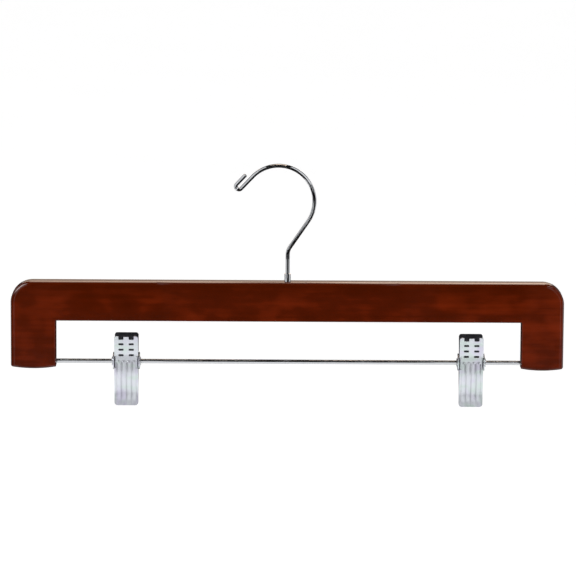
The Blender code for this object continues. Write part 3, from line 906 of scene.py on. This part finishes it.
def fold_ears(sizes, facing, face, radius, bends=6, turns=10, sweep=0.92):
    """Cut the plate's sides back beside the pivot, and run them round a bend into round ears, whose last
    edge is kept short of closing by the sweep."""
    plane = facing * sizes.belly_middle
    fold = face - sizes.bend
    notch = radius + sizes.relief
    cuts = [((x, 0, 0), (1, 0, 0)) for x in (-fold, fold)]
    cuts += [((0, 0, z), (0, 0, 1)) for z in (-notch, -radius, radius, notch)]
    for place, normal in cuts:
        bpy.ops.mesh.select_all(action='SELECT')
        bpy.ops.mesh.bisect(plane_co=place, plane_no=normal, threshold=weld_distance)
    pick('FACE', lambda f: abs(middle(f).x) > fold and abs(middle(f).z) < notch)
    bpy.ops.mesh.delete(type='FACE')
    for side in (-1, 1):
        pick('EDGE', lambda e: all(near(v.co.x, side * fold) and abs(v.co.z) < radius + weld_distance
                                   for v in e.verts) and len(e.link_faces) == 1)
        before = Vector((0, plane, 0))
        path = []
        for i in range(1, bends + 1):
            angle = math.pi / 2 * i / bends
            inset = sizes.bend * (1 - math.cos(angle))
            path.append((sizes.bend * math.sin(angle), plane - facing * inset, 1))
        path += [(sizes.bend, plane / 2, 1), (sizes.bend, 0, 1)]
        for i in range(1, turns + 1):
            angle = math.pi / 2 * sweep * i / turns
            path.append((sizes.bend, -facing * radius * math.sin(angle), math.cos(angle)))
        height = 1
        for out, y, share in path:
            after = Vector((side * out, y, 0))
            extrude(after - before)
            if share != height:
                resize((1, 1, share / height), (0, y, 0))
            before, height = after, share


def slot_cutters(sizes, facing, corner_share=0.36, reach_share=1.5, tongue_share=1.02):
    """Rounded bars that cut the slots, and on the front plate the notches and the gap over the tongue."""
    pitch = (tab_top - sizes.notch_depth - sizes.slot_base) / (sizes.slot_rows - 1)
    inner, outer = sizes.rib_pitch / 2, sizes.rib_pitch * 3 / 2
    near_y, far_y = sorted((facing * sizes.belly_middle / 2, facing * sizes.tab_spread * reach_share))
    parts = []
    for row in range(sizes.slot_rows if facing < 0 else sizes.slot_rows - 1):
        low = sizes.slot_base + pitch * row
        high = low + sizes.slot_height if row < sizes.slot_rows - 1 else tab_top + sizes.slot_height
        for side in (-1, 1):
            left, right = sorted((side * inner, side * outer))
            bar = block("slot_cutter", (left, near_y, low), (right, far_y, high))
            work_on(bar, 'EDIT')
            pick('EDGE', lambda e: near(e.verts[0].co.x, e.verts[1].co.x)
                 and near(e.verts[0].co.z, e.verts[1].co.z))
            bpy.ops.mesh.bevel(offset=sizes.slot_height * corner_share, segments=5, affect='EDGES')
            parts.append(bar)
    cutters = [join("slot_cutter", parts)]
    if facing < 0:
        half_tongue = inner * tongue_share
        cutters.append(block("tongue_cutter", (-half_tongue, near_y, tab_top - sizes.tongue_drop),
                             (half_tongue, far_y, tab_top + sizes.slot_height)))
    return cutters


def model_plate(name, sizes, facing, face, ear_radius):
    """One pressed plate: ribbed jaw, slotted tab and a pair of ears folded back to the pivot."""
    half = jaw_high.x - clip_places["right"]
    plate = plate_chain(name, half, sizes.rib_pitch, facing)
    loft_plate(sizes, facing)
    clip_corners(sizes, half)
    fold_ears(sizes, facing, face, ear_radius)
    tidy_normals()
    bpy.ops.object.mode_set(mode='OBJECT')
    apply_modifier(plate, 'SOLIDIFY', thickness=sizes.sheet, offset=0.0)
    reach = rear_high.x - clip_places["right"] + sizes.slot_height
    hole = turned("ear_hole", [(-reach, sizes.ear_hole), (reach, sizes.ear_hole)], (0, 0, 0), axis='X')
    carve(plate, hole)
    for cutter in slot_cutters(sizes, facing):
        carve(plate, cutter)
    smooth(plate, 40)
    return plate


def place_pair(context, model, label, body, node, job):
    """Copy a clip's piece to both clips, and dress each copy."""
    for side, x in clip_places.items():
        piece = copy_to(model, side + "_" + label, (x, 0, rod_level))
        dress(piece, side + body if body else None, side + node, material_of(context, job))
    bpy.data.objects.remove(model, do_unlink=True)


class HANGER_OT_front_plates(Operator):
    """Model the clips' front plates"""
    bl_idname = "hanger.front_plates"
    bl_label = "Front plates"

    def execute(self, context):
        sizes = context.scene.hanger_clip
        plate = model_plate("front_plate", sizes, -1, sizes.front_face, sizes.front_ear)
        place_pair(context, plate, "front_plate", "_clip_front", "_clip_front_jaw", "zinc")
        return {'FINISHED'}


class HANGER_OT_rear_plates(Operator):
    """Model the clips' rear plates, whose ears stand outside the front plates' ears"""
    bl_idname = "hanger.rear_plates"
    bl_label = "Rear plates"

    def execute(self, context):
        sizes = context.scene.hanger_clip
        plate = model_plate("rear_plate", sizes, 1, sizes.rear_face, sizes.rear_ear)
        place_pair(context, plate, "rear_plate", "_clip_rear", "_clip_rear_jaw", "zinc")
        return {'FINISHED'}


class HANGER_OT_tubes(Operator):
    """Model the tubes that hold the clips together and slide on the rod"""
    bl_idname = "hanger.tubes"
    bl_label = "Pivot tubes"

    def execute(self, context):
        sizes = context.scene.hanger_clip
        outer = tube_high.x - clip_places["right"]
        rim = (tube_high.z - tube_low.z) / 2
        bore = sizes.ear_hole - sizes.tube_wall - sizes.turn_gap
        wall = bore + sizes.tube_wall
        inner = outer - sizes.flange
        roll_share = 0.4
        roll = sizes.flange * roll_share
        section = [(-outer, bore + roll), (-outer, rim - roll), (-outer + roll / 3, rim - roll / 3),
                   (-outer + roll, rim), (-inner, rim), (-inner, wall), (inner, wall), (inner, rim),
                   (outer - roll, rim), (outer - roll / 3, rim - roll / 3), (outer, rim - roll),
                   (outer, bore + roll), (outer - roll, bore), (-outer + roll, bore), (-outer, bore + roll)]
        tube = turned("pivot_tube", section, (0, 0, 0), axis='X', closed=True)
        place_pair(context, tube, "pivot_sleeve", "_clip_carrier", "_clip_pivot_tube", "rod")
        return {'FINISHED'}


def spring_half(sizes):
    """Half the length of the spring's coil."""
    return sizes.spring_turns * sizes.spring_pitch / 2


def model_spring(sizes, steps_per_turn=28, legs=10, tip_share=0.6, end_share=0.6):
    """Wind a torsion spring by screwing the wire's section along the axis, and draw up its two legs."""
    half = spring_half(sizes)
    deselect()
    bpy.ops.mesh.primitive_circle_add(vertices=16, radius=sizes.spring_wire / 2, fill_type='NOTHING',
                                      location=(-half, -sizes.spring_radius, 0))
    spring = named("torsion_spring")
    steps = round(steps_per_turn * sizes.spring_turns)
    apply_modifier(spring, 'SCREW', axis='X', angle=math.tau * sizes.spring_turns, screw_offset=2 * half,
                   steps=steps, render_steps=steps, use_merge_vertices=False)
    set_in = sizes.sheet / 2 + sizes.touch_gap + sizes.spring_wire / 2
    work_on(spring, 'EDIT')
    for side in (-1, 1):
        pick('EDGE', lambda e: len(e.link_faces) == 1
             and all(near(v.co.z, 0, sizes.spring_wire / 3) and side * v.co.y > 0
                     and near(v.co.x, side * half, sizes.spring_wire * end_share) for v in e.verts))
        last = Vector((0, sizes.spring_radius, 0))
        for i in range(1, legs + 1):
            z = sizes.spring_leg * i / legs
            reach = max(sizes.spring_radius, eased_middle(sizes, z) - set_in)
            point = Vector((0, reach, z))
            extrude((0, side * (point.y - last.y), point.z - last.z))
            last = point
        resize((tip_share, tip_share, 1), (side * half, side * last.y, last.z))
        bpy.ops.mesh.edge_face_add()
    tidy_normals()
    bpy.ops.object.mode_set(mode='OBJECT')
    smooth(spring, 50)
    return spring


class HANGER_OT_springs(Operator):
    """Model the torsion springs, which wind up as the clips open"""
    bl_idname = "hanger.springs"
    bl_label = "Springs"

    def execute(self, context):
        sizes = context.scene.hanger_clip
        spring = model_spring(sizes)
        # The coil's ends ride on a jaw each, so the spring is tied to neither body
        place_pair(context, spring, "torsion_spring", None, "_clip_spring", "spring")
        for side, x in clip_places.items():
            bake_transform(bpy.data.objects[side + "_torsion_spring"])
        return {'FINISHED'}


# Stage


def by_ray(tree, other, seen):
    """One value for camera, glossy and transmission rays, and another for the rest."""
    share = add_node(tree, 'LightPath', output="Is Camera Ray")
    for ray in ("Is Glossy Ray", "Is Transmission Ray"):
        share = add_node(tree, 'Math', (share, add_node(tree, 'LightPath', output=ray)), operation='MAXIMUM')
    return add_node(tree, 'MapRange', (share, 0.0, 1.0, other, seen))


def make_world(stage):
    """White behind the hanger and in its reflections, and an even room light on its colours."""
    world = bpy.data.worlds.new("white_room")
    bpy.context.scene.world = world
    world.use_nodes = True
    tree = world.node_tree
    strength = by_ray(tree, stage.room_light, 1.0)
    feed(tree, tree.nodes["Background"], {"Color": (1, 1, 1, 1), "Strength": strength})


def make_floor(stage, colours):
    """A plain pale floor a rail's height below, white where the camera sees it."""
    deselect()
    bpy.ops.mesh.primitive_plane_add(size=60, location=(0, 0, -stage.floor_drop))
    floor = named("floor")
    material, tree, shader, place = new_material("matt_painted_floor")
    share = add_node(tree, 'MapRange', (blotches(tree, place, (0.4, 0.4, 0.4)), 0.3, 0.7))
    paint, worn = opaque(colours.floor), opaque([c * 0.98 for c in colours.floor])
    feed(tree, shader, {
        "Base Color": add_node(tree, 'Mix', {0: share, 6: paint, 7: worn}, output=2, data_type='RGBA'),
        "Roughness": 0.9,
        "Emission Color": (1, 1, 1, 1),
        "Emission Strength": by_ray(tree, 0.0, 0.55),
    })
    floor.data.materials.append(material)


def card(name, corners, glow=0.0, tint=(1, 1, 1)):
    """A card that only reflections see: black felt, or lit, and brighter towards its right."""
    mesh = bpy.data.meshes.new(name)
    mesh.from_pydata(corners, [], [tuple(range(len(corners)))])
    made = bpy.data.objects.new(name, mesh)
    bpy.context.scene.collection.objects.link(made)
    material, tree, shader, place = new_material("card_" + name)
    fuzz = blotches(tree, place, (0.01, 0.01, 0.01))
    felt, lint = (0.010, 0.010, 0.010, 1), (0.022, 0.022, 0.022, 1)
    feed(tree, shader, {
        "Base Color": add_node(tree, 'Mix', {0: fuzz, 6: felt, 7: lint}, output=2, data_type='RGBA'),
        "Roughness": 1.0,
        "Specular IOR Level": 0.0,
        "Emission Color": opaque(tint),
    })
    if glow:
        across = add_node(tree, 'SeparateXYZ', (place,), output="X")
        brighter = add_node(tree, 'MapRange', (across, -0.5, 0.5, glow / 2, glow))
        feed(tree, shader, {"Emission Strength": brighter})
    made.data.materials.append(material)
    made.visible_camera = False
    made.visible_diffuse = False
    made.visible_shadow = False


def strip(name, low_line, high_line, glow=0.0, tint=(1, 1, 1)):
    """A card between two level lines, each given as half its width, its depth and its height."""
    (low_half, low_y, low_z), (high_half, high_y, high_z) = low_line, high_line
    card(name, [(-low_half, low_y, low_z), (low_half, low_y, low_z), (high_half, high_y, high_z),
                (-high_half, high_y, high_z)], glow, tint)


def upright(name, start, end, low, high, glow=0.0):
    """An upright card over a line between two points, each given as X and Y, from one height to another."""
    card(name, [(*start, low), (*end, low), (*end, high), (*start, high)], glow)


def room_cards(stage, colours):
    """Black from in front up to overhead and low behind, for the lacquer's dark face; warm light behind and
    over the back, for the line along its top; and black beside that light, for its dark shoulders."""
    wall, front, ceiling = stage.back_wall, -stage.front_wall, stage.ceiling
    glow_half, glow_end = 0.7, -0.2
    lines = [(0.5, front, -0.665), (0.5, front, 0.4), (1.2, front, 1.25), (2.2, front / 2, ceiling),
             (2.2, glow_end - 0.07, ceiling)]
    for name, low_line, high_line in zip(("front", "front_top", "rise", "roof"), lines, lines[1:]):
        strip(name, low_line, high_line)
    strip("back", (1.25, wall, -0.5), (1.25, wall, 0.0))
    strip("glow_low", (1.2, wall, 0.02), (1.2, wall, 0.5), stage.low_glow, colours.warm)
    strip("glow_back", (glow_half, wall, 0.52), (glow_half, wall, ceiling), stage.glow, colours.warm)
    strip("glow_roof", (glow_half, wall, ceiling), (glow_half, glow_end, ceiling), stage.glow, colours.warm)
    for side, sign in (("left", -1), ("right", 1)):
        near_x, far_x, front_y = sign * (glow_half + 0.01), sign * 3.2, glow_end - 0.05
        upright("back_" + side, (near_x, wall), (far_x, wall), -0.6, ceiling)
        card("roof_" + side, [(near_x, wall, ceiling), (far_x, wall, ceiling), (far_x, front_y, ceiling),
                              (near_x, front_y, ceiling)])


def hook_cards():
    """Black round the hook, for the dark core of its wire, and grey at its sides, for the wire's edges."""
    front, foot, shin = -0.13, -0.10, -0.078
    half = 0.12
    strip("hook_foot", (half / 2, front, foot), (half, front, shin))
    card("hook_front", [(-half, front, shin), (half, front, shin), (half, front, -0.010),
                        (-half, front, -0.055)])
    upright("hook_tail", (-0.045, -0.03), (-0.005, -0.03), -0.045, -0.012)
    strip("hook_under", (0.075, front, foot), (0.075, -0.007, foot))
    strip("hook_over", (0.05, 0.0, 0.014), (0.015, 0.05, 0.014))
    upright("hook_back", (-0.03, 0.05), (0.03, 0.05), -0.008, 0.014)
    for side, x, low, high, grey_low in (("left", -0.085, -0.050, -0.033, -0.032),
                                         ("right", 0.075, foot, 0.012, 0.012)):
        upright("hook_" + side, (x, front), (x, -0.01), low, high)
        upright("hook_" + side + "_grey", (x, -0.22), (x, 0.03), grey_low, 0.17, glow=1.1)
    # These end over the bar's top, so that the bar doesn't mirror them
    for side, x in (("left", -0.012), ("right", 0.012)):
        upright("stem_" + side, (x, -0.009), (x, 0.005), bar_top + 0.001, -0.060, glow=0.9)


def arm_and_rod_cards():
    """Black behind the rod and the window's edges, beside the arms, and before the right shoulder."""
    half, back, top = 0.16, 0.05, -0.068
    strip("rod_back", (half, back, -0.19), (half, back, top))
    strip("rod_over", (half, back, top), (half, 0.008, -0.0985))
    for side, x, back_end in (("left", -0.30, 0.02), ("right", 0.30, -0.06)):
        upright(side + "_wing", (x, -0.30), (x, back_end), -0.20, -0.05)
    upright("right_shoulder", (0.187, -0.052), (0.223, -0.004), -0.081, -0.021)


def clip_cards():
    """Black over each clip, for the dark inside of its rear tab, and light before its upright stretch."""
    dark_half, dark_y, light_half, light_y = 0.03, -0.06, 0.02, -0.05
    # Reflections run outwards, because the camera stands at the middle
    spread = 1.08
    for side, x in clip_places.items():
        upright(side + "_clip", (x * spread - dark_half, dark_y), (x * spread + dark_half, dark_y),
                -0.104, -0.066)
        upright(side + "_clip_light", (x - light_half, light_y), (x + light_half, light_y),
                -0.140, -0.113, glow=1.5)


def make_lamps(stage):
    """Two softboxes, high to the left and to the right in front."""
    hanger_middle = Vector((0, 0, -0.08))
    way_right = Vector((0.66, -0.48, 0.58)).normalized()
    for side, sign in (("left", -1), ("right", 1)):
        lamp = bpy.data.lights.new(side + "_softbox", 'AREA')
        lamp.shape = 'SQUARE'
        lamp.size = stage.lamp_size
        lamp.energy = stage.lamp_power
        holder = bpy.data.objects.new(side + "_softbox", lamp)
        bpy.context.scene.collection.objects.link(holder)
        away = Vector((sign * way_right.x, way_right.y, way_right.z))
        holder.location = hanger_middle + away * stage.lamp_distance
        holder.rotation_euler = away.to_track_quat('Z', 'Y').to_euler()


def make_camera(stage):
    """The photograph's camera: long lens, a little above the hanger and a shade to the left."""
    target = Vector((stage.aim_right, 0, -stage.aim_drop))
    camera = bpy.data.objects.new("camera", bpy.data.cameras.new("camera"))
    bpy.context.scene.collection.objects.link(camera)
    bpy.context.scene.camera = camera
    away = Vector((math.sin(stage.azimuth) * math.cos(stage.elevation),
                   -math.cos(stage.azimuth) * math.cos(stage.elevation), math.sin(stage.elevation)))
    camera.location = target + away * stage.distance
    roll = Quaternion((0, 0, 1), stage.roll)
    camera.rotation_euler = (away.to_track_quat('Z', 'Y') @ roll).to_euler()
    camera.data.lens = camera.data.sensor_width * stage.focal_share


class HANGER_OT_stage(Operator):
    """Set up the camera, the softboxes, the white room and the floor"""
    bl_idname = "hanger.stage"
    bl_label = "Stage"

    def execute(self, context):
        stage = context.scene.hanger_stage
        make_world(stage)
        make_floor(stage, context.scene.hanger_colours)
        room_cards(stage, context.scene.hanger_colours)
        hook_cards()
        arm_and_rod_cards()
        clip_cards()
        make_lamps(stage)
        make_camera(stage)
        context.scene.view_settings.view_transform = 'Standard'
        return {'FINISHED'}


class HANGER_PT_panel(Panel):
    """The hanger's pieces and sizes in the sidebar"""
    bl_idname = "HANGER_PT_panel"
    bl_label = "Bottoms hanger"
    bl_space_type = 'VIEW_3D'
    bl_region_type = 'UI'
    bl_category = "Hanger"

    def draw(self, context):
        for operator in piece_operators:
            self.layout.operator(operator.bl_idname)
        for name, group in property_groups.items():
            box = self.layout.box()
            box.label(text=group.__doc__)
            for item in group.__annotations__:
                box.prop(getattr(context.scene, name), item)


property_groups = {"hanger_board": HangerBoardSizes, "hanger_hook": HangerHookSizes,
                   "hanger_clip": HangerClipSizes, "hanger_colours": HangerColours,
                   "hanger_stage": HangerStage}
piece_operators = (HANGER_OT_stage, HANGER_OT_board, HANGER_OT_rod, HANGER_OT_hook,
                   HANGER_OT_front_plates, HANGER_OT_rear_plates, HANGER_OT_tubes, HANGER_OT_springs)


def register():
    for group in property_groups.values():
        bpy.utils.register_class(group)
    for operator in piece_operators:
        bpy.utils.register_class(operator)
    bpy.utils.register_class(HANGER_PT_panel)
    for name, group in property_groups.items():
        setattr(bpy.types.Scene, name, PointerProperty(type=group))


def unregister():
    for name in property_groups:
        delattr(bpy.types.Scene, name)
    bpy.utils.unregister_class(HANGER_PT_panel)
    for operator in reversed(piece_operators):
        bpy.utils.unregister_class(operator)
    for group in property_groups.values():
        bpy.utils.unregister_class(group)


def main():
    """Build the stage and every piece."""
    register()
    bpy.ops.hanger.stage()
    bpy.ops.hanger.board()
    bpy.ops.hanger.rod()
    bpy.ops.hanger.hook()
    bpy.ops.hanger.front_plates()
    bpy.ops.hanger.rear_plates()
    bpy.ops.hanger.tubes()
    bpy.ops.hanger.springs()
    deselect()


if __name__ == "__main__":
    main()
